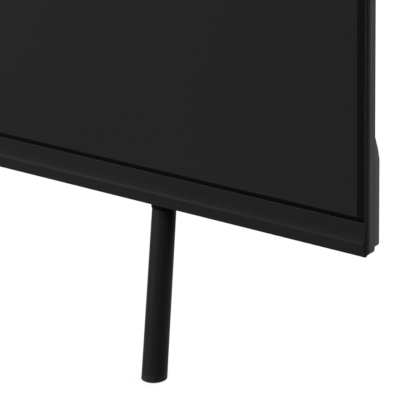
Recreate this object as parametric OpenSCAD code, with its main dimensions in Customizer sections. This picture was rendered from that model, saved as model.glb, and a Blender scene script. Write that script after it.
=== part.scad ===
// Flat screen television on four peg legs.
// All sizes are in millimetres. The set faces -Y, X runs to the viewer's right and Z is up.
// Each piece is drawn in the set's own frame: X from the middle, Y back from the front of the
// chin's crease, Z up from the chin's lower edge. placed() then stands the set on the floor.

/* [Picture] */
// Width of the visible picture
picture_w = 1207; // [1180:1:1290]
// Height of the visible picture
picture_h = 680; // [660:1:740]
// Black border and trim beside and above the picture
border_w = 9.5; // [7.5:0.5:12]

/* [Chin] */
// Height of the bar below the picture
chin_h = 27; // [27:0.5:32]
// Black line left between the bar and the picture
chin_line = 3.4; // [1:0.1:4]
// Height of the crease along the bar
crease_h = 9.8; // [9.4:0.1:11.5]
// How far the crease stands in front of the flat part of the bar
crease_out = 1.2; // [0.6:0.1:1.3]
// Height over which the bar flares out to its crease
flare_h = 7.2; // [5:0.1:10]
// Rounding of the two front ends of the bar
chin_end_r = 4; // [2.5:0.5:6]

/* [Cabinet] */
// Depth of the thin upper part of the set
edge_d = 11.9; // [11.4:0.1:13]
// Depth of the low step across the whole width
step_d = 18; // [17:0.1:22]
// Height at which the ends of the step begin to round over
step_shoulder = 73; // [55:1:90]
// Radius of the step's upper ends
step_r = 70; // [50:1:90]
// Depth of the box that holds the electronics
box_d = 66; // [64:0.5:80]
// Height of the top of that box
box_top = 430; // [425:1:500]
// Space left beside the box at each end of the set
box_inset = 133; // [110:1:140]
// Wall of the rear housing
housing_t = 2.2; // [1.8:0.1:2.6]

/* [Stand] */
// Height of the set above the floor
leg_h = 133.5; // [110:0.5:170]
// Distance from each end of the set to a front leg
front_leg_in = 200; // [190:1:210]
// Distance from the middle to a rear leg
rear_leg_x = 95; // [88:1:105]
// Sideways lean of each leg between the set and the floor
lean_out = 21; // [0:1:30]
// Forward or backward lean of each leg
lean_away = 48; // [30:1:60]
// Radius of a leg at the top
leg_top_r = 9.8; // [9:0.05:10]
// Radius of a leg at the floor
leg_foot_r = 10.45; // [9.6:0.05:11]
// Height of the rubber foot
pad_h = 6.5; // [6:0.1:9]

/* [Wall mount] */
// Spacing of the wall-mount holes both ways
vesa = 200; // [200:100:200]
// Height of the middle of the wall-mount holes above the chin's lower edge
vesa_z = 250; // [245:1:255]
// Radius of a wall-mount hole
vesa_hole_r = 3; // [2:0.5:3]

/* [Controls] */
// Tilt clearance around the control stick
stick_gap = 2.6; // [2.4:0.1:3.5]
// Play around every small pivot pin
pin_play = 0.08; // [0.05:0.01:0.15]
// Travel room of the press switch
press_room = 1.2; // [1.1:0.1:1.5]

/* [Hidden] */
$fn = 48;

// Overall size of the set without its legs
set_w = picture_w + 2 * border_w;
half_w = set_w / 2;
picture_z = chin_h + chin_line;
set_h = picture_z + picture_h + border_w;

// Gaps between pieces
layer_gap = 0.1;
fit_gap = 0.2;

// Layers of the display, front to back
chin_t = 2;
rim_in = 1;
rim_r = 0.5;
chin_top_r = 0.35;
rib_in = 14;
rib_d = 6.5;
rib_z = [14.4, 15.8];
ir_half = 10;
ir_z = [3, 8];
lip_front = 0.5;
lip_back = 1.9;
cell_d = chin_t + layer_gap;
cell_t = 1.6;
ledge_d = cell_d + cell_t + layer_gap;
ledge_t = 1;
prism_d = ledge_d + ledge_t + layer_gap;
film_t = 0.3;
diffuser_d = prism_d + film_t + layer_gap;
guide_d = diffuser_d + film_t + layer_gap;
tray_back_t = 1.4;
tray_floor = edge_d - tray_back_t;
reflector_t = 0.4;
reflector_d = tray_floor - fit_gap - reflector_t;
guide_t = reflector_d - layer_gap - guide_d;

// Edges of the display pieces, counted in from the side of the set
tray_t = 1.8;
tray_front = 2.2;
tray_z = 0.2;
tray_r = 3.5;
tray_edge_r = 3;
web_out = tray_t + 0.15;
web_in = web_out + 0.7;
cell_in = web_in + 0.15;
lip_out = 0.3;
lip_in = cell_in + 0.15;
frame_wall = 1.2;
sheet_in = cell_in + frame_wall + fit_gap;
cell_z = chin_h - 6;
frame_z = 17;
frame_foot = 1.4;
bar_z = frame_z + frame_foot + fit_gap;
bar_t = 2;
strip_t = 1.2;
led_h = 1.4;
led_w = 6;
led_pitch = 20;
guide_z = bar_z + bar_t + strip_t + led_h + 0.4;
bar_in = 8.5;

// Rear housing
step_z = 4;
step_lean = 6;
step_cx = half_w - step_r * cos(step_lean);
step_cz = step_shoulder - step_r * sin(step_lean);
step_top = step_cz + step_r;
box_half = half_w - box_inset;
box_draft = 40;
top_draft = 35;
slant = 1.25;
box_side_r = 14;
box_end_r = 9;
floor_z = step_z + housing_t;

// Well and screw that hold the housing to the tray
well_r = 5;
well_wall = 1.5;
well_seat = 3;
screw_r = 1.6;
screw_head_r = 4;
screw_head_h = 2.5;
hex_r = 1.3;
well_side = 55;
well_rows = [100, 300];
well_top_in = 170;
well_top = 45;
well_end = 53;
well_low_z = 30;
well_over = 20;
well_mid_z = 70;
wells = [
    for (k = [-1, 1]) each [
        [k * (box_half - well_side), well_rows[1]], [k * (box_half - well_top_in), box_top - well_top],
        [k * (box_half - well_side), well_rows[0]], [k * (half_w - well_end), well_low_z],
        [k * (half_w - well_end), step_shoulder + well_over],
    ],
    [0, well_mid_z],
];

// Pocket for the signal sockets and pocket for the mains inlet
pocket_wall = 2;
pocket_side = 80;
jack_w = 130;
jack_low = 90;
jack_tall = 160;
jack_x = [box_half - pocket_side - jack_w, box_half - pocket_side];
jack_z = [jack_low, jack_low + jack_tall];
jack_floor = 16;
mains_w = 70;
mains_low = 86;
mains_x = [pocket_side - box_half, pocket_side + mains_w - box_half];
mains_z = [mains_low, mains_low + mains_w];
mains_floor = 26;
recess_gap = pocket_wall + fit_gap;

// Circuit boards
board_d = 17;
board_t = 1.6;
board_back = board_d + board_t;
post_clear = 20;
pocket_clear = 4;
board_low = 84;
board_tall = 170;
main_x = [vesa / 2 + post_clear, jack_x[0] - pocket_clear];
main_z = [board_low, board_low + board_tall];
power_x = [mains_x[1] + pocket_clear, -vesa / 2 - post_clear];
power_z = main_z;
tcon_half = 70;
tcon_low = 268;
tcon_tall = 60;
tcon_x = [-tcon_half, tcon_half];
tcon_z = [tcon_low, tcon_low + tcon_tall];
hole_in = 6;
function inner(v) = [v[0] + hole_in, v[1] - hole_in];
function corners(x, z) = [for (a = inner(x), b = inner(z)) [a, b]];
board_holes = concat(corners(main_x, main_z), corners(power_x, power_z), corners(tcon_x, tcon_z));
standoff_r = 3.2;
board_screw_r = 1.4;
board_head_r = 2.8;
board_head_h = 2;
panel_half = 200;
panel_in = 303;
panel_d = [6, 7];
panel_top = 13.5;

// Parts on the main board and the power board, and what runs between them
chip_in = 20;
chip_w = 30;
chip_low = 150;
chip_t = 1.2;
memory_w = 12;
memory_low = 194;
memory_gap = 6;
memory_t = 1;
flash_w = 18;
flash_tall = 14;
flash_low = 112;
sink_over = 10;
sink_base = 3;
sink_tall = 14;
fin_count = 8;
fin_t = 1.6;
fin_pitch = 6.6;
winding_w = 35;
winding_tall = 32;
winding_h = 26;
bobbin_w = 47;
bobbin_tall = 40;
bobbin_h = 5;
bobbin_in = 23;
bobbin_z = [125, 190];
can_r = 9.5;
can_h = 30;
can_in = 26;
can_pitch = [24, 26];
can_z = 170;
ribbon_x = 40;
ribbon_w = 18;
ribbon_z = 232;
ribbon_tall = 12;
ribbon_lap = 14;
ribbon_t = 0.4;
lead_z = 214;
lead_tall = 16;
lead_t = 1.6;
lead_lift = 3;
plug_in = 10;
plug_half = 4;
plug_over = 1;

// Signal sockets and mains inlet
socket_face = jack_x[0] - 0.4;
plate_t = 0.8;
plate_x = jack_x[0] - pocket_wall - plate_t - layer_gap;
window_rim = 6;
window_z = [jack_z[0] + window_rim, jack_z[1] - window_rim];
window_d = [17.6, 35];
hdmi_z = [jack_z[1] - 90, jack_z[1] - 68, jack_z[1] - 46];
hdmi_w = 15.4;
hdmi_h = 6;
usb_z = [jack_z[1] - 29, jack_z[1] - 13.5];
usb_w = 13.4;
usb_h = 6.4;
lan_z = jack_z[0] + 46;
lan_w = 16;
lan_h = 13.4;
antenna_z = jack_z[0] + 20;
antenna_d = 25;
antenna_r = 4.75;
antenna_out = 11;
inlet_z = mains_z[0] + 35;
inlet_half = 11;
inlet_d = [31, 44];
inlet_deep = 20;
inlet_hole_d = [mains_floor + 1, 48];
inlet_hole_half = 14;
flange_lap = 2;
pin_x = 4.3;
inlet_pin_r = 1.2;

// Speakers
bracket_half = 32;
speaker_clear = 11;
speaker_half = 85;
speaker_x = half_w - front_leg_in - bracket_half - speaker_clear - speaker_half;
speaker_t = 2.5;
gasket_t = 3;
speaker_tall = 54;
speaker_z = [floor_z + gasket_t, floor_z + gasket_t + speaker_tall];
speaker_room = 6.3;
speaker_d = [edge_d + fit_gap, box_d - housing_t - speaker_room];
speaker_mid = (speaker_d[0] + speaker_d[1]) / 2;
driver_r = (speaker_d[1] - speaker_d[0]) / 2 - speaker_t - fit_gap;
cone_r = 0.78 * driver_r;
cone_gap = 0.6;
mouth_gap = 1.2;
gasket_r = driver_r + 0.5;
gasket_gap = 1.9;
grille_r = 0.75 * driver_r;

// Posts for a wall mount
post_r = 8;
post_gap = 0.3;

// Slots in the back, left out beside a post
slot_half = 2;
slot_r = 1.9;
slot_pitch = 11;
slot_top = 38;
slot_tall = 28;
slot_x = 160;
slot_low = [22, 46];
slot_low_in = 80;
slot_land = 4;

// Control stick
stick_in = 26;
stick_y = box_d - stick_in;
pivot_z = 13;
stick_r = 7.2;
pin_r = 0.75;
ring_in = 4.2;
ring_out = 6.4;

// Stand
collar_h = 4.5;
collar_r = leg_top_r + 0.75;
bore_r = 7.2;
stud_r = 4;
boss_top = 30;
front_leg_d = 16;
rear_leg_in = 12;
rear_leg_d = box_d - rear_leg_in;
plate_d = 3;
bracket_z = [8, 62];
bolt_r = 2;
bolt_head_r = 4;
bolt_head_h = 2.6;
bolt_x = 24;
bolt_z = [18, 52];
foot_r = leg_foot_r + 2.95;
foot_round = foot_r / 2 - 0.1;
leg_len = norm([lean_out, lean_away, leg_h]);
// Turns each round piece of the stand about its own axis, away from the direction it leans in
seam_turn = 37;
stand_mid = (front_leg_d + rear_leg_d) / 2;

// Shared drawing helpers

function unit(v) = v / norm(v);
function span(mid, half) = [mid - half, mid + half];
function grown(v, by) = [v[0] - by, v[1] + by];
function wrapped(i, n) = (i + n) % n;
function fillet(p, q, r, rad) = let(u = unit(p - q), v = unit(r - q), half = acos(u * v) / 2)
    [q + u * rad / tan(half), q + unit(u + v) * rad / sin(half), q + v * rad / tan(half)];

// Polygon with a true arc at each corner that has a radius
module rounded(points, radii) {
    n = len(points);
    arcs = [for (i = [0:n - 1])
        fillet(points[wrapped(i - 1, n)], points[i], points[wrapped(i + 1, n)], radii[i])];
    polygon([for (i = [0:n - 1]) each (radii[i] > 0 ? [arcs[i][0], arcs[i][2]] : [points[i]])]);
    for (i = [0:n - 1]) {
        if (radii[i] > 0) translate(arcs[i][1]) circle(radii[i]);
    }
}

module rect(x, z, r) {
    rounded([[x[0], z[0]], [x[1], z[0]], [x[1], z[1]], [x[0], z[1]]], [r, r, r, r]);
}

// Extrusions of an outline along one axis
module along_y(y0, y1) {
    translate([0, y1, 0]) rotate([90, 0, 0]) linear_extrude(y1 - y0) children();
}

module along_z(z0, z1) {
    translate([0, 0, z0]) linear_extrude(z1 - z0) children();
}

module along_x(x0, x1) {
    translate([x0, 0, 0]) rotate([90, 0, 90]) linear_extrude(x1 - x0) children();
}

module block(x, y, z) {
    translate([x[0], y[0], z[0]]) cube([x[1] - x[0], y[1] - y[0], z[1] - z[0]]);
}

module rod_y(x, z, y0, y1, r) {
    translate([x, y0, z]) rotate([-90, 0, 0]) cylinder(h = y1 - y0, r = r);
}

module rod_x(y, z, x0, x1, r) {
    translate([x0, y, z]) rotate([0, 90, 0]) cylinder(h = x1 - x0, r = r);
}

module rod_z(x, y, z0, z1, r) {
    translate([x, y, z0]) cylinder(h = z1 - z0, r = r);
}

module placed() {
    translate([0, -stand_mid, leg_h]) children();
}

// Flat sheet behind the glass, cut to the same edges as its neighbours
module sheet(d0, t, z0) {
    block([sheet_in - half_w, half_w - sheet_in], [d0, d0 + t], [z0, set_h - sheet_in]);
}

// Display

module front_frame() {
    color("#26272a") placed() difference() {
        union() {
            along_y(lip_front, lip_back)
                rect([lip_out - half_w, half_w - lip_out], [0, set_h - lip_out], tray_r - lip_out);
            along_y(lip_back - 0.1, 6)
                rect([web_out - half_w, half_w - web_out], [0, set_h - web_out], tray_r - web_out);
        }
        block([lip_in - half_w, half_w - lip_in], [0, lip_back], [-1, set_h - lip_in]);
        block([web_in - half_w, half_w - web_in], [lip_back - 0.2, 7], [-1, set_h - web_in]);
        block([-half_w, half_w], [0, 7], [-1, chin_h + fit_gap]);
        for (k = [0, 1]) mirror([k, 0, 0]) along_z(0, set_h) lip_bevel(half_w);
        rotate([0, -90, 0]) along_z(-half_w, half_w) lip_bevel(set_h);
    }
}

module lip_bevel(edge) {
    polygon([[edge - lip_in - 1, 0], [edge - 1.3, 0], [edge - 1.3, lip_front],
        [edge - lip_in, lip_front + 0.9], [edge - lip_in - 1, lip_front + 0.9]]);
}

module chin_section() {
    flare_r = (flare_h * flare_h + crease_out * crease_out) / (2 * crease_out);
    difference() {
        rounded([[chin_t, 0], [chin_t, chin_h], [crease_out, chin_h], [crease_out, crease_h + flare_h],
            [0, crease_h + flare_h], [0, crease_h], [rim_in, 0]], [0, 0, chin_top_r, 0, 0, 0, rim_r]);
        translate([crease_out - flare_r, crease_h + flare_h]) circle(flare_r, $fn = 96);
    }
}

module chin_form() {
    intersection() {
        along_x(-half_w, half_w) chin_section();
        along_z(-1, chin_h + 1)
            rounded([[-half_w, 0], [half_w, 0], [half_w, 12], [-half_w, 12]],
                [chin_end_r, chin_end_r, 0, 0]);
        along_y(-1, chin_t + 1)
            rounded([[-half_w, 0], [half_w, 0], [half_w, 40], [-half_w, 40]], [2.5, 2.5, 0, 0]);
    }
}

module chin_bar() {
    color("#1f2022") placed() difference() {
        union() {
            chin_form();
            block([rib_in - half_w, half_w - rib_in], [chin_t - 0.1, rib_d], rib_z);
        }
        block([-ir_half, ir_half], [-1, chin_t + 1], ir_z);
    }
}

module ir_window() {
    color("#120a0c") placed() intersection() {
        chin_form();
        block([layer_gap - ir_half, ir_half - layer_gap], [-1, chin_t + 1],
            [ir_z[0] + layer_gap, ir_z[1] - layer_gap]);
    }
}

module ir_board() {
    color("#1d4a2c") placed() {
        block([-20, 20], [4.2, 5.2], [tray_z + tray_t + layer_gap, 12]);
        block([-3.5, 3.5], [chin_t + fit_gap, 4.3], [3.6, 7.6]);
    }
}

module lcd_cell() {
    color("#0c0d0f") placed()
        block([cell_in - half_w, half_w - cell_in], [cell_d, cell_d + cell_t], [cell_z, set_h - cell_in]);
}

module mid_frame() {
    color("#17181a") placed() {
        difference() {
            block([cell_in - half_w, half_w - cell_in], [ledge_d, tray_floor - layer_gap],
                [frame_z, set_h - cell_in]);
            block([-picture_w / 2, picture_w / 2], [0, edge_d], [picture_z, picture_z + picture_h]);
            block([cell_in + frame_wall - half_w, half_w - cell_in - frame_wall],
                [ledge_d + ledge_t, edge_d], [frame_z + frame_foot, set_h - cell_in - frame_wall]);
            block([-half_w, half_w], [tray_floor - 1.4, edge_d], [0, frame_z + frame_foot + 1]);
        }
    }
}

module prism_sheet() {
    color("#d8dde2") placed() sheet(prism_d, film_t, guide_z + 0.4);
}

module diffuser_sheet() {
    color("#eef0f0") placed() sheet(diffuser_d, film_t, guide_z + 0.4);
}

module light_guide() {
    color("#cfe0e8") placed() sheet(guide_d, guide_t, guide_z);
}

module reflector_sheet() {
    color("#f6f6f4") placed() sheet(reflector_d, reflector_t, guide_z);
}

module led_strip() {
    count = floor((picture_w - 10) / led_pitch);
    mid = guide_d + guide_t / 2;
    color("#f1efe2") placed() {
        block([bar_in - half_w, half_w - bar_in], [guide_d - 0.5, tray_floor - 0.3],
            [bar_z + bar_t, bar_z + bar_t + strip_t]);
        for (i = [0:count - 1]) {
            x = (i - (count - 1) / 2) * led_pitch;
            block([x - led_w / 2, x + led_w / 2], [mid - 1, mid + 1],
                [bar_z + bar_t + strip_t - 0.1, bar_z + bar_t + strip_t + led_h]);
        }
    }
}

module led_bar() {
    color("#a9adb0") placed() {
        block([bar_in - half_w, half_w - bar_in], [ledge_d + ledge_t + layer_gap, tray_floor - layer_gap],
            [bar_z, bar_z + bar_t]);
        block([bar_in - half_w, half_w - bar_in], [tray_floor - 1.2, tray_floor - layer_gap],
            [bar_z - 9, bar_z + 0.1]);
    }
}

module panel_boards() {
    color("#1c5a36") placed() for (k = [-1, 1]) {
        block(span(k * (half_w - panel_in), panel_half), panel_d, [tray_z + tray_t + layer_gap, panel_top]);
    }
}

module back_chassis() {
    color("#3a3b3e") placed() difference() {
        intersection() {
            along_y(tray_front, edge_d) rect([-half_w, half_w], [tray_z, set_h], tray_r);
            along_z(0, set_h + 1) rounded([[-half_w, tray_front], [half_w, tray_front],
                [half_w, edge_d + 8], [-half_w, edge_d + 8]], [tray_edge_r, tray_edge_r, 0, 0]);
            along_x(-half_w - 1, half_w + 1) polygon([[tray_front, -5], [tray_front, set_h - 1.3],
                [tray_front + 0.45, set_h - 0.45], [tray_front + 1.3, set_h], [edge_d + 8, set_h],
                [edge_d + 8, -5]]);
        }
        along_y(0, tray_floor) rect([tray_t - half_w, half_w - tray_t],
            [tray_z + tray_t, set_h - tray_t], tray_r - tray_t);
        for (w = wells) rod_y(w[0], w[1], 0, edge_d + 1, screw_r + layer_gap);
        for (k = [-1, 1], f = [1, -1], p = bracket_points(k, f))
            rod_y(p[0], p[1], 0, edge_d + 1, bolt_r + layer_gap);
        for (z = [box_top + 60 : 80 : set_h - 60])
            along_y(edge_d - 0.6, edge_d + 1) rect([120 - half_w, half_w - 120], [z - 5, z + 5], 5);
    }
}

// Electronics

module board(x, z) {
    difference() {
        block(x, [board_d, board_back], z);
        for (p = corners(x, z)) rod_y(p[0], p[1], board_d - 1, board_back + 1, board_screw_r + fit_gap);
    }
}

module main_board() {
    color("#1b5e3a") placed() board(main_x, main_z);
}

module power_board() {
    color("#8a7a4a") placed() board(power_x, power_z);
}

module tcon_board() {
    color("#1b4e6a") placed() board(tcon_x, tcon_z);
}

module board_standoffs() {
    color("#b9bcc0") placed() for (p = board_holes) difference() {
        rod_y(p[0], p[1], edge_d, board_d, standoff_r);
        rod_y(p[0], p[1], edge_d + 1, board_d + 1, board_screw_r + 0.05);
    }
}

module board_screws() {
    color("#c8cacc") placed() for (p = board_holes) {
        rod_y(p[0], p[1], board_back, board_back + board_head_h, board_head_r);
        rod_y(p[0], p[1], edge_d + 1.4, board_back + 0.1, board_screw_r);
    }
}

module main_chips() {
    x = main_x[0] + chip_in;
    color("#1a1a1c") placed() {
        block([x, x + chip_w], [board_back, board_back + chip_t], [chip_low, chip_low + chip_w]);
        for (i = [0, 1]) {
            m = x + i * (memory_w + memory_gap);
            block([m, m + memory_w], [board_back, board_back + memory_t],
                [memory_low, memory_low + memory_w]);
        }
        block([x, x + flash_w], [board_back, board_back + memory_t], [flash_low, flash_low + flash_tall]);
    }
}

module main_heatsink() {
    base = board_back + chip_t;
    x = main_x[0] + chip_in - sink_over;
    z = [chip_low - sink_over, chip_low + chip_w + sink_over];
    color("#9ea2a6") placed() {
        block([x, x + chip_w + 2 * sink_over], [base, base + sink_base], z);
        for (i = [0:fin_count - 1])
            block([x + 1 + i * fin_pitch, x + 1 + fin_t + i * fin_pitch], [base + 2.9, base + sink_tall], z);
    }
}

module power_transformers() {
    x = power_x[1] - bobbin_in - bobbin_w / 2;
    color("#c9b458") placed() for (z = bobbin_z) {
        block(span(x, winding_w / 2), [board_back, board_back + winding_h], span(z, winding_tall / 2));
        block(span(x, bobbin_w / 2), [board_back, board_back + bobbin_h], span(z, bobbin_tall / 2));
    }
}

module power_capacitors() {
    color("#2a3038") placed() for (i = [0, 1], j = [0, 1])
        rod_y(power_x[0] + can_in + i * can_pitch[0], can_z + j * can_pitch[1],
            board_back, board_back + can_h, can_r);
}

module picture_ribbon() {
    d = [board_back, board_back + ribbon_t];
    color("#e6e2d4") placed() {
        block([ribbon_x, main_x[0] + ribbon_lap], d, [ribbon_z, ribbon_z + ribbon_tall]);
        block([ribbon_x, ribbon_x + ribbon_w], d, [ribbon_z, tcon_z[0] + ribbon_lap]);
    }
}

module power_harness() {
    ends = [power_x[1] - plug_in, main_x[0] + plug_in];
    color("#d8d8d2") placed() {
        block([ends[0] - plug_half, ends[1] + plug_half],
            [board_back + lead_lift, board_back + lead_lift + lead_t], span(lead_z, lead_tall / 2));
        for (x = ends) block(span(x, plug_half), [board_back, board_back + lead_lift + 0.1],
            span(lead_z, lead_tall / 2 + plug_over));
    }
}

// Sockets

module shell_socket(z, tall, wide, deep, wall, tongue, tongue_t) {
    x0 = socket_face - deep;
    difference() {
        block([x0, socket_face], [board_back, board_back + tall], [z - wide / 2, z + wide / 2]);
        block([x0 + 2.5, socket_face + 1], [board_back + wall, board_back + tall - wall],
            [z - wide / 2 + wall, z + wide / 2 - wall]);
    }
    block([x0 + 2, socket_face - 1.5], [board_back + tongue, board_back + tongue + tongue_t],
        [z - wide / 2 + wall + 2, z + wide / 2 - wall - 2]);
}

module hdmi_sockets() {
    color("#b4b6b8") placed() for (z = hdmi_z) shell_socket(z, hdmi_h, hdmi_w, 13, 0.7, 2.6, 0.8);
}

module usb_sockets() {
    color("#b0b3b6") placed() for (z = usb_z) shell_socket(z, usb_h, usb_w, 13, 0.6, 1.5, 1.6);
}

module lan_socket() {
    color("#a7aaad") placed() difference() {
        block([socket_face - lan_w, socket_face], [board_back, board_back + lan_h], span(lan_z, lan_w / 2));
        block([socket_face - 13, socket_face + 1], [board_back + 2, board_back + 10],
            [lan_z - 5.9, lan_z + 5.9]);
    }
}

module antenna_socket() {
    color("#c2b58a") placed() difference() {
        union() {
            block([socket_face - 18, plate_x - 0.3], [board_back, antenna_d + 6], span(antenna_z, 7));
            rod_x(antenna_d, antenna_z, plate_x - 0.4, socket_face + antenna_out, antenna_r);
        }
        rod_x(antenna_d, antenna_z, socket_face - 2, socket_face + antenna_out + 1, 1.5);
    }
}

module terminal_plate() {
    gap = fit_gap;
    x = [plate_x - 1, plate_x + plate_t + 1];
    color("#8d9093") placed() difference() {
        block([plate_x, plate_x + plate_t], [board_back + gap, window_d[1] + 1.5],
            [window_z[0] - 2, window_z[1] + 2]);
        for (z = hdmi_z) block(x, [0, board_back + hdmi_h + gap], span(z, hdmi_w / 2 + gap));
        for (z = usb_z) block(x, [0, board_back + usb_h + gap], span(z, usb_w / 2 + gap));
        block(x, [0, board_back + lan_h + gap], span(lan_z, lan_w / 2 + gap));
        rod_x(antenna_d, antenna_z, x[0], x[1], antenna_r + gap);
    }
}

module power_inlet() {
    face = mains_x[1];
    color("#1c1c1e") placed() difference() {
        union() {
            block([face, face + inlet_deep], inlet_d, span(inlet_z, inlet_half));
            block([face + pocket_wall + layer_gap, face + pocket_wall + 2],
                [inlet_hole_d[0] - flange_lap, inlet_hole_d[1] + flange_lap],
                span(inlet_z, inlet_hole_half + flange_lap));
        }
        block([face - 1, face + 14], [inlet_d[0] + 2, inlet_d[1] - 2], span(inlet_z, inlet_half - 2.4));
        for (k = [-1, 1])
            rod_x(sum2(inlet_d) / 2, inlet_z + k * pin_x, face + 13, face + inlet_deep + 1,
                inlet_pin_r + 0.05);
    }
}

function sum2(v) = v[0] + v[1];

// Cup set into the rear housing, with the mains inlet in its side
module inlet_recess() {
    color("#333437") placed() difference() {
        pocket_block(mains_x, mains_z, mains_floor);
        block(mains_x, [mains_floor, box_d + 1], mains_z);
        block([mains_x[1] - 1, mains_x[1] + pocket_wall + 1], inlet_hole_d, span(inlet_z, inlet_hole_half));
    }
}

module inlet_pins() {
    color("#c9c2a4") placed() for (k = [-1, 1])
        rod_x(sum2(inlet_d) / 2, inlet_z + k * pin_x, mains_x[1] + 3, mains_x[1] + inlet_deep + 2,
            inlet_pin_r);
}

// Speakers

module speaker_box(k) {
    x = [k * speaker_x - speaker_half, k * speaker_x + speaker_half];
    difference() {
        block(x, speaker_d, speaker_z);
        block([x[0] + speaker_t, x[1] - speaker_t], [speaker_d[0] + speaker_t, speaker_d[1] - speaker_t],
            [speaker_z[0] + speaker_t, speaker_z[1] - speaker_t]);
        rod_z(k * speaker_x, speaker_mid, speaker_z[0] - 1, speaker_z[0] + speaker_t + 1,
            cone_r + mouth_gap);
    }
}

module speaker_driver(k) {
    z0 = speaker_z[0] + speaker_t;
    in_r = cone_r + cone_gap;
    magnet_r = 0.75 * driver_r;
    core_r = 0.25 * driver_r;
    gap_r = [0.35 * driver_r, 0.575 * driver_r];
    basket_r = [0.67 * driver_r, 0.88 * driver_r];
    translate([k * speaker_x, speaker_mid, z0]) rotate_extrude()
        polygon([[in_r, 0], [driver_r, 0], [driver_r, 2], [magnet_r, 13], [magnet_r, 27], [0, 27], [0, 15],
            [core_r, 15], [core_r, 23], [gap_r[1], 23], [gap_r[1], 17.5], [gap_r[0], 17.5], [gap_r[0], 15],
            [basket_r[0], 12.6], [basket_r[1], 3.2], [in_r, 2]]);
}

module speaker_cone(k) {
    z0 = speaker_z[0] + speaker_t;
    coil_r = 0.3 * driver_r;
    cap_r = 0.15 * driver_r;
    translate([k * speaker_x, speaker_mid, z0]) rotate_extrude()
        polygon([[cone_r, 0.6], [cone_r, 1.4], [coil_r + 0.3, 10.4], [coil_r + 0.3, 18], [coil_r - 0.3, 18],
            [coil_r - 0.3, 9.8], [cap_r, 8], [0, 7.4], [0, 6.6], [cap_r + 0.2, 7.2], [coil_r, 9.2]]);
}

module left_speaker_box() {
    color("#222326") placed() speaker_box(-1);
}

module right_speaker_box() {
    color("#222326") placed() speaker_box(1);
}

module left_speaker_driver() {
    color("#77797c") placed() speaker_driver(-1);
}

module right_speaker_driver() {
    color("#77797c") placed() speaker_driver(1);
}

module left_speaker_cone() {
    color("#2c2c2c") placed() speaker_cone(-1);
}

module right_speaker_cone() {
    color("#2c2c2c") placed() speaker_cone(1);
}

module speaker_gaskets() {
    color("#3b3b3b") placed() for (k = [-1, 1]) difference() {
        rod_z(k * speaker_x, speaker_mid, floor_z, speaker_z[0], gasket_r);
        rod_z(k * speaker_x, speaker_mid, floor_z - 1, speaker_z[0] + 1, cone_r + gasket_gap);
    }
}

// Rear housing

module step_outline(s) {
    intersection() {
        rounded([[s - half_w, step_z + s], [half_w - s, step_z + s],
            [half_w - s, step_top - s], [s - half_w, step_top - s]], [3, 3, 0, 0]);
        union() {
            translate([-half_w, 0]) square([set_w, step_shoulder]);
            translate([-step_cx, 0]) square([2 * step_cx, step_top]);
            for (k = [-1, 1]) translate([k * step_cx, step_cz]) circle(step_r - s, $fn = 128);
        }
    }
}

module box_form(s) {
    front = edge_d - 1;
    w = box_half - slant * s;
    t = box_top - slant * s;
    intersection() {
        along_z(0, set_h) rounded([[-w, front], [w, front], [w, edge_d], [w - box_draft, box_d - s],
            [box_draft - w, box_d - s], [-w, edge_d]], [0, 0, 0, box_side_r - s, box_side_r - s, 0]);
        along_x(-half_w, half_w) rounded([[front, step_z + s], [box_d - s, step_z + s],
            [box_d - s, t - top_draft], [edge_d, t], [front, t]], [0, box_end_r - s, box_end_r - s, 0, 0]);
    }
}

module housing_form(s) {
    along_y(edge_d - 1, step_d - s) step_outline(s);
    box_form(s);
}

module pocket_block(x, z, d) {
    block([x[0] - pocket_wall, x[1] + pocket_wall], [d - pocket_wall, box_d],
        [z[0] - pocket_wall, z[1] + pocket_wall]);
}

module vent_slots() {
    post_room = post_r + post_gap + slot_land + slot_half;
    for (k = [-1, 1]) {
        for (i = [0:20]) {
            x = k * slot_x + (i - 10) * slot_pitch;
            if (abs(abs(x) - vesa / 2) > post_room)
                along_y(box_d - 6, box_d + 1)
                    rect(span(x, slot_half), span(box_top - top_draft - slot_top, slot_tall / 2), slot_r);
        }
        for (i = [0:10])
            along_y(box_d - 6, box_d + 1)
                rect(span(k * (speaker_x - slot_low_in) + (i - 5) * slot_pitch, slot_half),
                    slot_low, slot_r);
        for (i = [-3:3]) {
            half = sqrt(grille_r * grille_r - i * i * 16);
            along_z(0, floor_z + 1) rect(span(k * speaker_x + i * 4, 1.1), span(speaker_mid, half), 1);
        }
    }
}

module rear_housing() {
    color("#333437") placed() difference() {
        union() {
            difference() {
                housing_form(0);
                housing_form(housing_t);
            }
            intersection() {
                housing_form(0);
                union() {
                    for (w = wells) rod_y(w[0], w[1], edge_d, box_d, well_r + well_wall);
                    pocket_block(jack_x, jack_z, jack_floor);
                }
            }
        }
        block([-half_w - 1, half_w + 1], [0, edge_d], [0, set_h]);
        for (w = wells) {
            rod_y(w[0], w[1], edge_d + well_seat, box_d + 1, well_r);
            rod_y(w[0], w[1], edge_d - 1, box_d, screw_r + fit_gap);
        }
        block(jack_x, [jack_floor, box_d + 1], jack_z);
        block(grown(mains_x, recess_gap), [box_d - housing_t - 1, box_d + 1], grown(mains_z, recess_gap));
        block([jack_x[0] - 5, jack_x[0] + 1], window_d, window_z);
        for (p = vesa_points()) rod_y(p[0], p[1], box_d - 10, box_d + 1, post_r + post_gap);
        for (k = [-1, 1], f = [1, -1]) along_leg(k, f)
            translate([0, 0, leg_len - 20]) cylinder(h = 45, r = collar_r + 0.4);
        rod_z(0, stick_y, 0, floor_z + 1, stick_r + stick_gap);
        vent_slots();
    }
}

module housing_screws() {
    seat = edge_d + well_seat;
    color("#48494c") placed() for (w = wells) difference() {
        union() {
            rod_y(w[0], w[1], seat, seat + screw_head_h, screw_head_r);
            rod_y(w[0], w[1], tray_floor, seat + 0.1, screw_r);
        }
        rod_y(w[0], w[1], seat + 1, seat + screw_head_h + 1, hex_r, $fn = 6);
    }
}

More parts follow.
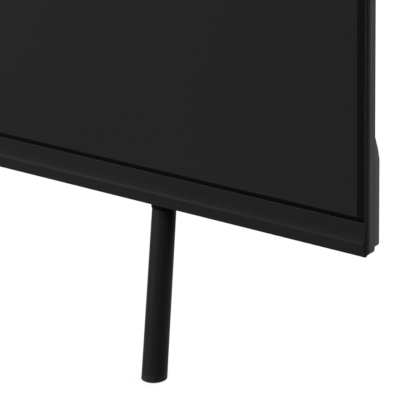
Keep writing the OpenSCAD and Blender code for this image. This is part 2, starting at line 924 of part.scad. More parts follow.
function vesa_points() = [for (a = [-1, 1], b = [-1, 1]) [a * vesa / 2, vesa_z + b * vesa / 2]];

module vesa_posts() {
    color("#b7b9bb") placed() for (p = vesa_points()) difference() {
        rod_y(p[0], p[1], edge_d, box_d, post_r);
        rod_y(p[0], p[1], box_d - 20, box_d + 1, vesa_hole_r);
    }
}

// Control stick

module control_base() {
    top = 20 + press_room + 0.6;
    color("#2b2c2f") placed() translate([0, stick_y, 0]) difference() {
        union() {
            block([-14, 14], [-11, 11], [top, top + 6.5]);
            for (a = [-1, 1], b = [-1, 1])
                block(span(a * 12.5, 1.5), span(b * 9.5, 1.5), [floor_z, top + 0.1]);
        }
        translate([0, 0, top - 1]) cylinder(h = 9, r = 3.15);
    }
}

module control_plunger() {
    color("#6c6e72") placed() translate([0, stick_y, 0]) {
        translate([0, 0, 18]) cylinder(h = 2, r = 9);
        translate([0, 0, 19.9]) cylinder(h = 7, r = 3);
        for (k = [-1, 1]) {
            block(span(k * 7.6, 0.8), [-2, 2], [pivot_z - 2, 18.1]);
            translate([k * 5.75 - 1.25, 0, pivot_z]) rotate([0, 90, 0]) cylinder(h = 2.5, r = pin_r);
        }
    }
}

module control_ring() {
    color("#8a8c90") placed() translate([0, stick_y, pivot_z]) {
        difference() {
            translate([0, 0, -1.4]) cylinder(h = 2.8, r = ring_out);
            translate([0, 0, -2]) cylinder(h = 4, r = ring_in);
            rotate([0, 90, 0]) translate([0, 0, -10]) cylinder(h = 20, r = pin_r + pin_play);
        }
        for (k = [-1, 1]) translate([0, k * 3 - 1.5, 0]) rotate([-90, 0, 0]) cylinder(h = 3, r = pin_r);
    }
}

module control_stick() {
    color("#1b1c1e") placed() translate([0, stick_y, 0]) difference() {
        union() {
            rotate_extrude() rounded([[0, -0.5], [stick_r, -0.5], [stick_r, 5], [0, 5]], [0, 1.2, 0.6, 0]);
            translate([0, 0, 4.9]) cylinder(h = 7, r = 2);
            translate([0, 0, pivot_z - 2.2]) cylinder(h = 4.4, r = 3.2);
        }
        translate([0, -5, pivot_z]) rotate([-90, 0, 0]) cylinder(h = 10, r = pin_r + pin_play);
    }
}

// Stand. k is -1 at the left and 1 at the right, f is 1 at the front and -1 at the rear.

function leg_top(k, f) = f > 0 ? [k * (half_w - front_leg_in), front_leg_d, 0]
    : [k * rear_leg_x, rear_leg_d, 0];
function leg_foot(k, f) = leg_top(k, f) + [k * lean_out, -f * lean_away, -leg_h];
function leg_at(k, f, z) = leg_foot(k, f) + (leg_top(k, f) - leg_foot(k, f)) * (z + leg_h) / leg_h;
function bracket_points(k, f) = [for (a = [-1, 1], z = bolt_z) [leg_top(k, f)[0] + a * bolt_x, z]];

module along_leg(k, f) {
    v = leg_top(k, f) - leg_foot(k, f);
    translate(leg_foot(k, f)) rotate([0, acos(v[2] / norm(v)), atan2(v[1], v[0])])
        rotate(seam_turn) children();
}

module level(z0, z1) {
    block([-half_w, half_w], [-150, 250], [z0, z1]);
}

module leg_taper() {
    slope = (leg_foot_r - leg_top_r) / leg_len;
    translate([0, 0, -20])
        cylinder(h = leg_len + 40, r1 = leg_foot_r + 20 * slope, r2 = leg_top_r - 20 * slope);
}

module leg(k, f) {
    intersection() {
        along_leg(k, f) difference() {
            leg_taper();
            translate([0, 0, -30]) cylinder(h = leg_len + 60, r = bore_r);
        }
        level(pad_h - leg_h, -collar_h);
    }
}

module foot(k, f) {
    seat = leg_at(k, f, 0.15 * pad_h - leg_h);
    intersection() {
        along_leg(k, f) leg_taper();
        translate([seat[0], seat[1], -leg_h]) rotate_extrude()
            rounded([[0, 0], [foot_r, 0], [foot_r, pad_h + 4], [0, pad_h + 4]], [0, foot_round, 0, 0]);
        level(-leg_h, pad_h - leg_h);
    }
    intersection() {
        along_leg(k, f) cylinder(h = 30, r = bore_r - 0.1);
        level(pad_h - leg_h - 0.1, pad_h - leg_h + 10);
    }
}

module leg_boss(k, f) {
    along_leg(k, f) translate([0, 0, leg_len - 30]) cylinder(h = 80, r = collar_r);
}

module leg_bracket(k, f) {
    x = leg_top(k, f)[0];
    mid = leg_at(k, f, boss_top);
    difference() {
        union() {
            intersection() {
                leg_boss(k, f);
                level(-collar_h, -fit_gap);
            }
            intersection() {
                leg_boss(k, f);
                block([-half_w, half_w], [edge_d + 0.3, 250], [-0.3, boss_top]);
            }
            block([x - bracket_half, x + bracket_half], [edge_d, edge_d + plate_d], bracket_z);
            block(span(mid[0], 9), [edge_d + 1, mid[1]], [bracket_z[0], boss_top]);
        }
        along_leg(k, f) translate([0, 0, leg_len - 30]) cylinder(h = 90, r = stud_r + layer_gap);
        for (p = bracket_points(k, f)) rod_y(p[0], p[1], 0, 40, bolt_r + fit_gap);
    }
}

module front_leg_brackets() {
    color("#2a2b2d") placed() for (k = [-1, 1]) leg_bracket(k, 1);
}

module rear_leg_brackets() {
    color("#2a2b2d") placed() for (k = [-1, 1]) leg_bracket(k, -1);
}

module bracket_screws() {
    seat = edge_d + plate_d;
    color("#9a9c9f") placed() for (k = [-1, 1], f = [1, -1], p = bracket_points(k, f)) {
        rod_y(p[0], p[1], seat, seat + bolt_head_h, bolt_head_r);
        rod_y(p[0], p[1], tray_floor, seat + 0.1, bolt_r);
    }
}

module leg_studs() {
    color("#a4a6a9") placed() for (k = [-1, 1], f = [1, -1]) {
        intersection() {
            along_leg(k, f) translate([0, 0, leg_len - 60]) cylinder(h = 80, r = bore_r - 0.1);
            level(-collar_h - 28, -collar_h);
        }
        intersection() {
            along_leg(k, f) translate([0, 0, leg_len - 60]) cylinder(h = 120, r = stud_r);
            level(-collar_h - 1, boss_top - 4);
        }
    }
}

module front_left_leg() {
    color("#1d1d1f") placed() leg(-1, 1);
}

module front_right_leg() {
    color("#1d1d1f") placed() leg(1, 1);
}

module rear_left_leg() {
    color("#1d1d1f") placed() leg(-1, -1);
}

module rear_right_leg() {
    color("#1d1d1f") placed() leg(1, -1);
}

module front_left_foot() {
    color("#202022") placed() foot(-1, 1);
}

module front_right_foot() {
    color("#202022") placed() foot(1, 1);
}

module rear_left_foot() {
    color("#202022") placed() foot(-1, -1);
}

module rear_right_foot() {
    color("#202022") placed() foot(1, -1);
}

front_frame();
chin_bar();
lcd_cell();
mid_frame();
prism_sheet();
diffuser_sheet();
light_guide();
reflector_sheet();
led_strip();
led_bar();
back_chassis();
panel_boards();
ir_board();
ir_window();
main_board();
main_chips();
main_heatsink();
power_board();
power_transformers();
power_capacitors();
tcon_board();
picture_ribbon();
power_harness();
board_standoffs();
board_screws();
terminal_plate();
hdmi_sockets();
usb_sockets();
lan_socket();
antenna_socket();
power_inlet();
inlet_pins();
inlet_recess();
left_speaker_box();
right_speaker_box();
left_speaker_driver();
right_speaker_driver();
left_speaker_cone();
right_speaker_cone();
speaker_gaskets();
rear_housing();
housing_screws();
vesa_posts();
control_base();
control_plunger();
control_ring();
control_stick();
front_left_leg();
front_right_leg();
rear_left_leg();
rear_right_leg();
front_left_foot();
front_right_foot();
rear_left_foot();
rear_right_foot();
front_leg_brackets();
rear_leg_brackets();
leg_studs();
bracket_screws();
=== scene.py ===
# %% [markdown]
# # A flat screen television on peg legs
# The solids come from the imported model: a glass screen in a thin metal trim, a plastic bar
# below the picture, a pressed metal tray at the back with a deeper plastic housing, and four
# round steel legs. This lesson leaves their shapes alone and gives each one the surface that
# its maker gave it, then lights the set as for a catalogue picture.

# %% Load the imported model
import math

import bmesh
import bpy
from mathutils import Matrix, Vector


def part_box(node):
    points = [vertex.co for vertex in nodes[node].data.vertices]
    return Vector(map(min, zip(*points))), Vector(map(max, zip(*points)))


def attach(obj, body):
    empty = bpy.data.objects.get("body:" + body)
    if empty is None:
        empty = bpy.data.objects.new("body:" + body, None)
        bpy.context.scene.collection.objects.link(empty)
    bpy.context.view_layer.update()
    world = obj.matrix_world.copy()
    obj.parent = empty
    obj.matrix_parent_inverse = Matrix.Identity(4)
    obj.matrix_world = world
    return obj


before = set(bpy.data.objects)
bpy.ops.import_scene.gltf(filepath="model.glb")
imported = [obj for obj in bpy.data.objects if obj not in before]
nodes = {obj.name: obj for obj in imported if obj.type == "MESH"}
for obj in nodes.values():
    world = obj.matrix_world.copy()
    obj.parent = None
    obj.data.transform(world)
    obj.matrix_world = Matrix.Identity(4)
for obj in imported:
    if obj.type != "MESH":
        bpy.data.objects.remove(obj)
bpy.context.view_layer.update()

# %% [markdown]
# ## Camera
# The picture shows only the lower right corner, from the front right and a little above. A camera
# can be placed by hand until the edges agree, but here its place was worked out from the straight
# edges of the set, so it is given as a distance from that corner, two angles and a small roll.

# %% Camera
FROM_CORNER = Vector((0.80573, -1.26918, 0.62960))
TURN, RISE, ROLL = 37.06, 21.14, -1.51
LENS, SENSOR = 197.34, 36
NEAREST = 0.05

chin_low, chin_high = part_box("chin_bar")
tray_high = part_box("back_chassis")[1]
set_corner = Vector((tray_high.x, chin_low.y, chin_low.z))
turn, rise, roll = (math.radians(degrees) for degrees in (TURN, RISE, ROLL))

back = Vector((math.sin(turn) * math.cos(rise), -math.cos(turn) * math.cos(rise), math.sin(rise)))
level = Vector((math.cos(turn), math.sin(turn), 0))
upward = back.cross(level)
right = level * math.cos(roll) + upward * math.sin(roll)
above = upward * math.cos(roll) - level * math.sin(roll)
facing = Matrix((right, above, back)).transposed().to_4x4()

camera = bpy.data.objects.new("camera", bpy.data.cameras.new("camera"))
camera.data.lens = LENS
camera.data.sensor_width = SENSOR
camera.data.clip_start = NEAREST
camera.matrix_world = Matrix.Translation(set_corner + FROM_CORNER) @ facing
bpy.context.scene.collection.objects.link(camera)
bpy.context.scene.camera = camera
bpy.context.scene.view_settings.view_transform = "Standard"
print("camera", round(FROM_CORNER.length, 3), "m from the corner, lens", LENS, "mm")

# %% [markdown]
# ## Two helpers
# Colours are easiest to read as the hex values that a paint program shows, but a shader works in
# linear light, so one function turns the first into the second. A material is a small tree of
# nodes, and one more function adds a node, sets it up and fills or links its sockets.

# %% Helpers


def linear(hex_colour):
    """An sRGB hex colour as linear red, green, blue and alpha."""
    parts = [int(hex_colour[i:i + 2], 16) / 255 for i in (1, 3, 5)]
    return (*[c / 12.92 if c <= 0.04045 else ((c + 0.055) / 1.055) ** 2.4 for c in parts], 1.0)


def add(tree, kind, feeds=None, **settings):
    """Adds one node. A socket is fed by a value or by another node's output."""
    node = tree.nodes.new("ShaderNode" + kind)
    for name, value in settings.items():
        setattr(node, name, value)
    for socket, value in (feeds or {}).items():
        if isinstance(value, bpy.types.NodeSocket):
            tree.links.new(value, node.inputs[socket])
        else:
            node.inputs[socket].default_value = value
    return node


print("white is", linear("#ffffff"), "and mid grey is", round(linear("#808080")[0], 3))

# %% [markdown]
# ## Studio
# A catalogue picture is taken on a white sweep under large soft lamps. The white that the camera
# sees, directly or in a gloss, is set apart from the light that falls on the set: the Light Path
# node tells the two kinds of ray apart, so the background can be plain white without more light
# on the set. The floor is partly real, so that it still takes the set's shadow. It also throws
# light back at the set, and a full white would fill every shadow on black plastic, so for that
# light the paper counts as grey.

# %% White surroundings
WHITE = linear("#ffffff")
ROOM_LIGHT = 0.08


def seen_directly(tree):
    """1 for rays that see the background itself, through a lens, a gloss or a glass."""
    path = add(tree, "LightPath").outputs
    both = add(tree, "Math", {0: path["Is Camera Ray"], 1: path["Is Glossy Ray"]}, operation="ADD")
    return add(tree, "Math", {0: both.outputs[0], 1: path["Is Transmission Ray"]},
               operation="ADD", use_clamp=True).outputs[0]


world = bpy.data.worlds.new("white room")
bpy.context.scene.world = world
world.use_nodes = True
tree = world.node_tree
tree.nodes.clear()
strength = add(tree, "MapRange", {"Value": seen_directly(tree),
                                  "To Min": ROOM_LIGHT, "To Max": 1.0}).outputs[0]
room = add(tree, "Background", {"Color": WHITE, "Strength": strength})
add(tree, "OutputWorld", {"Surface": room.outputs[0]})
print("the room lights the set at", ROOM_LIGHT, "of the white that is seen")

# %% Paper floor
FLOOR_SIZE = 60
FLOOR_GLOW = 0.88
FLOOR_WHITE = 0.88
FLOOR_BOUNCE = 0.1

paper = bpy.data.materials.new("white paper sweep")
paper.use_nodes = True
tree = paper.node_tree
tree.nodes.clear()
seen = seen_directly(tree)
share = add(tree, "Math", {0: seen, 1: FLOOR_GLOW}, operation="MULTIPLY").outputs[0]
tone = add(tree, "MapRange", {"Value": seen,
                              "To Min": FLOOR_BOUNCE, "To Max": FLOOR_WHITE}).outputs[0]
sheet = add(tree, "BsdfDiffuse", {"Color": tone}).outputs[0]
glow = add(tree, "Emission", {"Color": WHITE, "Strength": 1.0}).outputs[0]
mixed = add(tree, "MixShader", {0: share, 1: sheet, 2: glow}).outputs[0]
add(tree, "OutputMaterial", {"Surface": mixed})

floor_mesh = bpy.data.meshes.new("floor")
bm = bmesh.new()
bmesh.ops.create_grid(bm, x_segments=4, y_segments=4, size=FLOOR_SIZE / 2)
bm.to_mesh(floor_mesh)
bm.free()
floor = bpy.data.objects.new("floor", floor_mesh)
floor.data.materials.append(paper)
bpy.context.scene.collection.objects.link(floor)
print("floor", FLOOR_SIZE, "m across")

# %% [markdown]
# ## Lamps
# A small bright lamp gives hard edges and burnt spots on black plastic. Large soft boxes give long
# gentle gradients, which is how a black set keeps its form. The main one stands at the front left,
# where the crease of the chin mirrors it. The second stands behind at the right and higher, so that
# the side stays dim but the rounded shoulder of the housing catches it. A weak one hangs over the
# front of the screen, and one behind at the left serves the views of the back.

# %% Lamps


def soft_box(name, place, aim, size, watts):
    """A square lamp at a place, turned to face another, all in metres."""
    lamp = bpy.data.objects.new(name, bpy.data.lights.new(name, "AREA"))
    lamp.data.size = size
    lamp.data.energy = watts
    lamp.location = place
    lamp.rotation_mode = "QUATERNION"
    lamp.rotation_quaternion = (Vector(place) - Vector(aim)).to_track_quat("Z", "Y")
    lamp.visible_camera = False
    bpy.context.scene.collection.objects.link(lamp)
    print(name, size, "m box,", watts, "W")


soft_box("front_box", place=(-1.35, -2.1, 1.25), aim=(0.4, 0, 0.2), size=1.3, watts=66)
soft_box("shoulder_box", place=(1.26, 1.97, 1.73), aim=(0.5, 0, 0.25), size=1.2, watts=105)
soft_box("top_box", place=(0.2, -0.5, 1.6), aim=(0.2, 0, 0.5), size=1.0, watts=17)
soft_box("rear_box", place=(-1.4, 2.4, 1.8), aim=(0, 0, 0.4), size=1.5, watts=45)

# %% [markdown]
# ## A grained surface
# Most of the set is moulded, sprayed or coated, and such surfaces differ in a few ways only: the
# size of their grain, how deep it is, how dull they are, and whether the grain is drawn out in one
# direction by a brush or a roller. One function makes them all from those sizes, in millimetres,
# with a fine noise for the grain and a broad one for the sheen, which wanders a little over every
# surface. No mould or paint leaves a knife edge either. A bevel on every mesh would do, but the
# Bevel node rounds the shading alone, so the solids stay as they are and each edge still catches a
# thin line of light.

# %% A grained surface
MM = 0.001
NOISE_LOW, NOISE_HIGH = 0.32, 0.68
SHEEN_MM = 45
EDGE_MM, EDGE_RAYS = 0.4, 6
RELIEF = 0.5
SHARE, FIRST, SECOND, BLENDED = 0, 6, 7, 2  # sockets of a Mix node that blends two colours


def start_finish(name):
    """A new material and its empty tree."""
    material = bpy.data.materials.new(name)
    material.use_nodes = True
    material.node_tree.nodes.clear()
    return material, material.node_tree


def close_finish(tree, feeds):
    """Ends a tree with the surface that its feeds describe."""
    shader = add(tree, "BsdfPrincipled", feeds)
    add(tree, "OutputMaterial", {"Surface": shader.outputs["BSDF"]})


def lumps(tree, place, size_mm, detail=3.0):
    """A pattern with lumps of about that size, spread to run from 0 to 1."""
    raw = add(tree, "TexNoise", {"Vector": place, "Scale": 1 / (size_mm * MM),
                                 "Detail": detail}).outputs[0]
    return add(tree, "MapRange", {"Value": raw, "From Min": NOISE_LOW,
                                  "From Max": NOISE_HIGH}).outputs[0]


def grained(name, dark, light, grain_mm, depth_mm, rough, shader, drawn=(1, 1, 1), edge_mm=EDGE_MM):
    """A finish whose grain runs from a dark to a light colour, drawn out along an axis."""
    material, tree = start_finish(name)
    place = add(tree, "TexCoord").outputs["Object"]
    along = add(tree, "Mapping", {"Vector": place, "Scale": drawn}).outputs[0]
    grain = lumps(tree, along, grain_mm)
    sheen = lumps(tree, place, SHEEN_MM)
    colour = add(tree, "Mix", {SHARE: grain, FIRST: linear(dark), SECOND: linear(light)},
                 data_type="RGBA").outputs[BLENDED]
    dull = add(tree, "MapRange", {"Value": sheen, "To Min": rough[0], "To Max": rough[1]}).outputs[0]
    edge = add(tree, "Bevel", {"Radius": edge_mm * MM}, samples=EDGE_RAYS).outputs[0]
    relief = add(tree, "Bump", {"Height": grain, "Distance": depth_mm * MM, "Strength": RELIEF,
                                "Normal": edge}).outputs[0]
    close_finish(tree, {"Base Color": colour, "Roughness": dull, "Normal": relief, **shader})
    return material


finishes = {}


def dress(material, *names):
    """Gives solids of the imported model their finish."""
    for name in names:
        nodes[name].data.materials.clear()
        nodes[name].data.materials.append(material)
        finishes[name] = material.name
    print(material.name, "on", ", ".join(names))


print("edges softened by", EDGE_MM, "mm, sheen in patches of", SHEEN_MM, "mm")

# %% [markdown]
# ## Screen
# The front of a liquid-crystal cell is glass under a polarising film. The film is etched with a
# grit far below a tenth of a millimetre, so that it scatters lamps instead of mirroring them, and
# a thin layer on it cuts the reflection to a fraction of what bare glass gives. To the eye it is
# a deep grey with a faint veil. Round the picture the glass carries a printed black border. In the
# narrow strip along the chin it is painted darker still, as painted shade for the shadow that the
# chin's top edge throws into the gap. The border could be a piece of its own, but it is ink without
# thickness, so here it is a mask in the material, cut at the real edges of the picture. The grit
# is drawn at half a millimetre, because the true one would not show.

# %% Edges of the picture
BORDER = 9.5 * MM
STRIP_OVER_CHIN = 3.4 * MM

picture_half = tray_high.x - BORDER
picture_high = tray_high.z - BORDER
picture_low = chin_high.z + STRIP_OVER_CHIN
print("picture", round(2 * picture_half, 4), "by", round(picture_high - picture_low, 4), "m")

# %% Screen
VEIL_MM, GRIT_MM, GRIT_DEPTH_MM = 260, 0.5, 0.004

glass, tree = start_finish("etched display glass")
place = add(tree, "TexCoord").outputs["Object"]
axes = add(tree, "SeparateXYZ", {0: place}).outputs
across = add(tree, "Math", {0: axes["X"]}, operation="ABSOLUTE").outputs[0]
inside = add(tree, "Math", {0: across, 1: picture_half}, operation="LESS_THAN").outputs[0]
over = add(tree, "Math", {0: axes["Z"], 1: picture_low}, operation="GREATER_THAN").outputs[0]
under = add(tree, "Math", {0: axes["Z"], 1: picture_high}, operation="LESS_THAN").outputs[0]
column = add(tree, "Math", {0: inside, 1: under}, operation="MULTIPLY").outputs[0]
picture = add(tree, "Math", {0: column, 1: over}, operation="MULTIPLY").outputs[0]
veil = lumps(tree, place, VEIL_MM, detail=1.0)
cell = add(tree, "Mix", {SHARE: veil, FIRST: linear("#222222"), SECOND: linear("#252525")},
           data_type="RGBA").outputs[BLENDED]
# Below the picture, along the chin, the border is #010101 instead of #0c0c0c: painted shade for the
# shadow that the chin's top edge throws into the gap.
ink_and_painted_shade = add(tree, "Mix", {SHARE: over, FIRST: linear("#010101"), SECOND: linear("#0c0c0c")},
          data_type="RGBA").outputs[BLENDED]
colour = add(tree, "Mix", {SHARE: picture, FIRST: ink_and_painted_shade, SECOND: cell},
             data_type="RGBA").outputs[BLENDED]
grit = lumps(tree, place, GRIT_MM)
dull = add(tree, "MapRange", {"Value": grit, "To Min": 0.34, "To Max": 0.4}).outputs[0]
relief = add(tree, "Bump", {"Height": grit, "Distance": GRIT_DEPTH_MM * MM,
                            "Strength": 0.3}).outputs[0]
close_finish(tree, {"Base Color": colour, "Roughness": dull, "Normal": relief,
                    "IOR": 1.5, "Specular IOR Level": 0.03})
dress(glass, "lcd_cell")

# %% [markdown]
# ## Trim
# The trim is an aluminium strip, anodised black, with the fine lines of the brush left in it. Along
# its outer front edge a line one millimetre wide is painted a shade lighter: a painted highlight for
# the light that the rounded edge catches. It has no relief, so it is a mask in the material, like the
# border of the picture.

# %% Trim
# Where the painted highlight lies: its inset from the outer edge, its half width and its depth back
# from the front.
HIGHLIGHT_INSET, HIGHLIGHT_HALF, HIGHLIGHT_DEPTH = 0.8 * MM, 0.5 * MM, 0.3 * MM
BRUSH_MM, BRUSH_DEPTH_MM = 0.7, 0.002
BRUSHED = (1, 1, 0.04)

trim_low, trim_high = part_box("front_frame")
highlight_side = trim_high.x - HIGHLIGHT_INSET
highlight_top = trim_high.z - HIGHLIGHT_INSET
highlight_behind = trim_low.y + HIGHLIGHT_DEPTH

anodised, tree = start_finish("black anodised aluminium")
place = add(tree, "TexCoord").outputs["Object"]
axes = add(tree, "SeparateXYZ", {0: place}).outputs
across = add(tree, "Math", {0: axes["X"]}, operation="ABSOLUTE").outputs[0]
at_side = add(tree, "Math", {0: across, 1: highlight_side, 2: HIGHLIGHT_HALF}, operation="COMPARE").outputs[0]
at_top = add(tree, "Math", {0: axes["Z"], 1: highlight_top, 2: HIGHLIGHT_HALF}, operation="COMPARE").outputs[0]
at_edge = add(tree, "Math", {0: at_side, 1: at_top}, operation="MAXIMUM").outputs[0]
in_front = add(tree, "Math", {0: axes["Y"], 1: highlight_behind}, operation="LESS_THAN").outputs[0]
painted_highlight = add(tree, "Math", {0: at_edge, 1: in_front}, operation="MULTIPLY").outputs[0]
brushed = add(tree, "Mapping", {"Vector": place, "Scale": BRUSHED}).outputs[0]
lines = lumps(tree, brushed, BRUSH_MM)
dyed = add(tree, "Mix", {SHARE: lines, FIRST: linear("#101010"), SECOND: linear("#151515")},
           data_type="RGBA").outputs[BLENDED]
# The outer front edge is painted #282828 as a painted highlight.
colour = add(tree, "Mix", {SHARE: painted_highlight, FIRST: dyed, SECOND: linear("#282828")},
             data_type="RGBA").outputs[BLENDED]
dull = add(tree, "MapRange", {"Value": lines, "To Min": 0.36, "To Max": 0.46}).outputs[0]
relief = add(tree, "Bump", {"Height": lines, "Distance": BRUSH_DEPTH_MM * MM,
                            "Strength": RELIEF}).outputs[0]
close_finish(tree, {"Base Color": colour, "Roughness": dull, "Normal": relief,
                    "Specular IOR Level": 0.01})
dress(anodised, "front_frame")

# %% [markdown]
# ## Chin and stick
# The chin is ABS sprayed with a satin lacquer, smooth to the touch, with a sheen that wanders a
# little where the spray lay thicker. Its crease is rounded softly and its upper edge, against the
# screen, is sharp, so the radius of its Bevel node falls with height. The control stick is moulded
# in the same colour.

# %% Chin and stick
CREASE_MM, UPPER_EDGE_MM = 1.6, 0.2
SOFT_HEIGHT, SHARP_STRIP = 16.5 * MM, 3.5 * MM

lacquer = grained("satin lacquered ABS", "#161616", "#1a1a1a", grain_mm=0.8, depth_mm=0.003,
                  rough=(0.36, 0.44), shader={"IOR": 1.5, "Specular IOR Level": 0.07})
tree = lacquer.node_tree
height = add(tree, "SeparateXYZ", {0: add(tree, "TexCoord").outputs["Object"]}).outputs["Z"]
soften = add(tree, "MapRange", {"Value": height, "From Min": chin_low.z + SOFT_HEIGHT,
                                "From Max": chin_high.z - SHARP_STRIP, "To Min": CREASE_MM * MM,
                                "To Max": UPPER_EDGE_MM * MM}).outputs[0]
tree.links.new(soften, tree.nodes["Bevel"].inputs["Radius"])
dress(lacquer, "chin_bar", "control_stick")

# %% [markdown]
# ## Tray and rear housing
# The back of the screen is a pressed aluminium tray under a charcoal powder coat, which cures with
# a faint orange peel about two millimetres across. The housing below is ABS from a mould whose
# steel was eroded by sparks, which leaves a fine pebbled grain and an even matt. The grain is
# drawn at about a millimetre so that it can be seen at this distance.

# %% Tray and rear housing
powder = grained("charcoal powder-coated aluminium", "#202020", "#262626", grain_mm=2.0,
                 depth_mm=0.02, rough=(0.42, 0.52), shader={"IOR": 1.5, "Specular IOR Level": 0.18})
pebbled = grained("spark-grained charcoal ABS", "#2a2a2a", "#323232", grain_mm=1.1, depth_mm=0.03,
                  rough=(0.5, 0.6), shader={"IOR": 1.53, "Specular IOR Level": 0.26}, edge_mm=1.2)
dress(powder, "back_chassis")
dress(pebbled, "rear_housing", "inlet_recess")

# %% [markdown]
# ## Legs and feet
# Each leg is a steel tube with a black stove enamel, smoother than the powder coat, so the lamps
# draw a soft band along it. It screws up against a collar on the bracket inside the set, a black
# steel part with a crystal grain that is painted a dead black, darker than the enamel: painted shade
# for the shadow that the set throws on the top of the leg, so the joint reads as a dark ring. The
# feet are moulded rubber with a dusty matt skin.

# %% Legs and feet
LEGS = ["front_left", "front_right", "rear_left", "rear_right"]

enamel = grained("black enamelled steel", "#1c1c1c", "#202020", grain_mm=1.4, depth_mm=0.006,
                 rough=(0.36, 0.42), shader={"IOR": 1.5, "Specular IOR Level": 0.025})
# The brackets and their collars are painted darker than the enamel: painted shade for the set's shadow
# on the top of the legs.
collar_painted_shade = grained("black steel darkened as painted shade", "#0a0a0a", "#0f0f0f", grain_mm=0.9, depth_mm=0.01,
                    rough=(0.6, 0.7), shader={"IOR": 1.5, "Specular IOR Level": 0.02})
rubber = grained("moulded black rubber", "#1e1e1e", "#242424", grain_mm=1.0, depth_mm=0.02,
                 rough=(0.5, 0.6), shader={"IOR": 1.52, "Specular IOR Level": 0.05})
dress(enamel, *[leg + "_leg" for leg in LEGS], "housing_screws",
      "left_speaker_driver", "right_speaker_driver")
dress(collar_painted_shade, "front_leg_brackets", "rear_leg_brackets")
dress(rubber, *[leg + "_foot" for leg in LEGS])

# %% [markdown]
# ## Sockets, screws and bright metal
# The sockets, posts and inner screws are steel with a thin zinc plating, grey and slightly
# clouded by its crystals. The aerial socket and the mains pins are brass under a worn bright
# plating. Bare aluminium keeps the lines of the mill rolls.

# %% Bright metal
socket_rows = sorted(name for name in nodes if name.endswith("_sockets"))
wall_posts = next(name for name in nodes if name.endswith("_posts"))

zinc = grained("zinc-plated steel", "#a2a5a8", "#bcbfc2", grain_mm=3.0, depth_mm=0.004,
               rough=(0.28, 0.42), shader={"Metallic": 1.0})
brass = grained("plated brass", "#b8a878", "#d0c498", grain_mm=1.5, depth_mm=0.003,
                rough=(0.2, 0.32), shader={"Metallic": 1.0})
rolled = grained("rolled aluminium", "#a8abae", "#c4c6c8", grain_mm=0.6, depth_mm=0.004,
                 rough=(0.3, 0.42), shader={"Metallic": 1.0}, drawn=(0.03, 1, 1))
dress(zinc, *socket_rows, wall_posts, "lan_socket", "terminal_plate", "leg_studs",
      "bracket_screws", "board_standoffs", "board_screws")
dress(brass, "antenna_socket", "inlet_pins")
dress(rolled, "led_bar", "main_heatsink")

# %% [markdown]
# ## Plain mouldings, window, cones and foam
# The inner mouldings are black polycarbonate blends. The receiver window is a dyed acrylic that
# looks black and lets only infrared through. The speaker cones are pressed paper with fibres, and
# the gaskets are foam with open cells of about a millimetre.

# %% Plain mouldings, window, cones and foam
moulded = grained("moulded black polycarbonate", "#101011", "#161617", grain_mm=1.0, depth_mm=0.01,
                  rough=(0.45, 0.55), shader={"IOR": 1.58, "Specular IOR Level": 0.3})
smoked = grained("dyed infrared acrylic", "#070405", "#0b0608", grain_mm=2.0, depth_mm=0.001,
                 rough=(0.08, 0.14), shader={"IOR": 1.49, "Specular IOR Level": 0.35})
cone_paper = grained("pressed paper", "#262626", "#343434", grain_mm=0.8, depth_mm=0.05,
                     rough=(0.75, 0.9), shader={"IOR": 1.5, "Specular IOR Level": 0.3},
                     drawn=(1, 1, 0.4))
foam = grained("open-cell foam", "#2c2c2c", "#3e3e3e", grain_mm=1.0, depth_mm=0.15,
               rough=(0.85, 0.95), shader={"IOR": 1.5, "Specular IOR Level": 0.2})
dress(moulded, "mid_frame", "power_inlet", "left_speaker_box", "right_speaker_box",
      "control_base", "control_plunger", "control_ring")
dress(smoked, "ir_window")
dress(cone_paper, "left_speaker_cone", "right_speaker_cone")
dress(foam, "speaker_gaskets")

# %% [markdown]
# ## Bars and wires
# What a plug or a screw meets inside the sockets and posts is fine metal. Paint could hint at it,
# but it stands proud and catches the light, so it is made of small meshes of two kinds: bars with
# softened edges, and wires swept along a path. These helpers work in millimetres, from the boxes
# of the solids that carry the metal.

# %% Bars and wires
SOFTENED = 0.3  # share of a bar's thickness that its edges lose


def box_mm(node):
    """The lowest and highest corner of a solid."""
    return [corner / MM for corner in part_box(node)]


def bar(bm, low, high):
    """A bar with softened edges between two corners."""
    size = [b - a for a, b in zip(low, high)]
    middle = Vector([(a + b) / 2 for a, b in zip(low, high)])
    fitted = Matrix.Translation(middle * MM) @ Matrix.Diagonal((*size, 1))
    made = bmesh.ops.create_cube(bm, size=MM, matrix=fitted)
    edges = list({edge for vert in made["verts"] for edge in vert.link_edges})
    bmesh.ops.bevel(bm, geom=edges, offset=min(size) * SOFTENED * MM, segments=2, affect="EDGES")


def wire(bm, path, radius, beside, sides=6):
    """A wire swept along a path, with a face over each end."""
    angles = [math.tau * k / sides for k in range(sides)]
    rings = []
    for i, point in enumerate(path):
        ahead = (path[min(i + 1, len(path) - 1)] - path[max(i - 1, 0)]).normalized()
        out = ahead.cross(beside).normalized()
        side = ahead.cross(out)
        spokes = [math.cos(a) * out + math.sin(a) * side for a in angles]
        rings.append([bm.verts.new((point + radius * spoke) * MM) for spoke in spokes])
    for one, two in zip(rings, rings[1:]):
        for k in range(sides):
            bm.faces.new((one[k], one[k - 1], two[k - 1], two[k]))
    for ring in (rings[0], rings[-1]):
        bm.faces.new(ring)


def piece(name, bm, material):
    """Makes a mesh into a piece of the set, with its finish."""
    bmesh.ops.recalc_face_normals(bm, faces=bm.faces)
    mesh = bpy.data.meshes.new(name)
    bm.to_mesh(mesh)
    bm.free()
    made = bpy.data.objects.new(name, mesh)
    made.data.materials.append(material)
    bpy.context.scene.collection.objects.link(made)
    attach(made, "set")
    print(name, "has", len(mesh.polygons), "faces")


print("sockets at", [[round(v, 1) for v in box_mm(name)[0]] for name in socket_rows], "mm")

# %% [markdown]
# ## Inside the sockets
# A plug meets gold: strips on a black tongue in each picture and data socket, and eight springs in
# the network socket. A tongue is a skin over the solid one, so that it takes the plastic's finish.
# The strips of a picture socket lie half a millimetre apart on the real one, and are drawn at a
# millimetre so that they can be told apart.

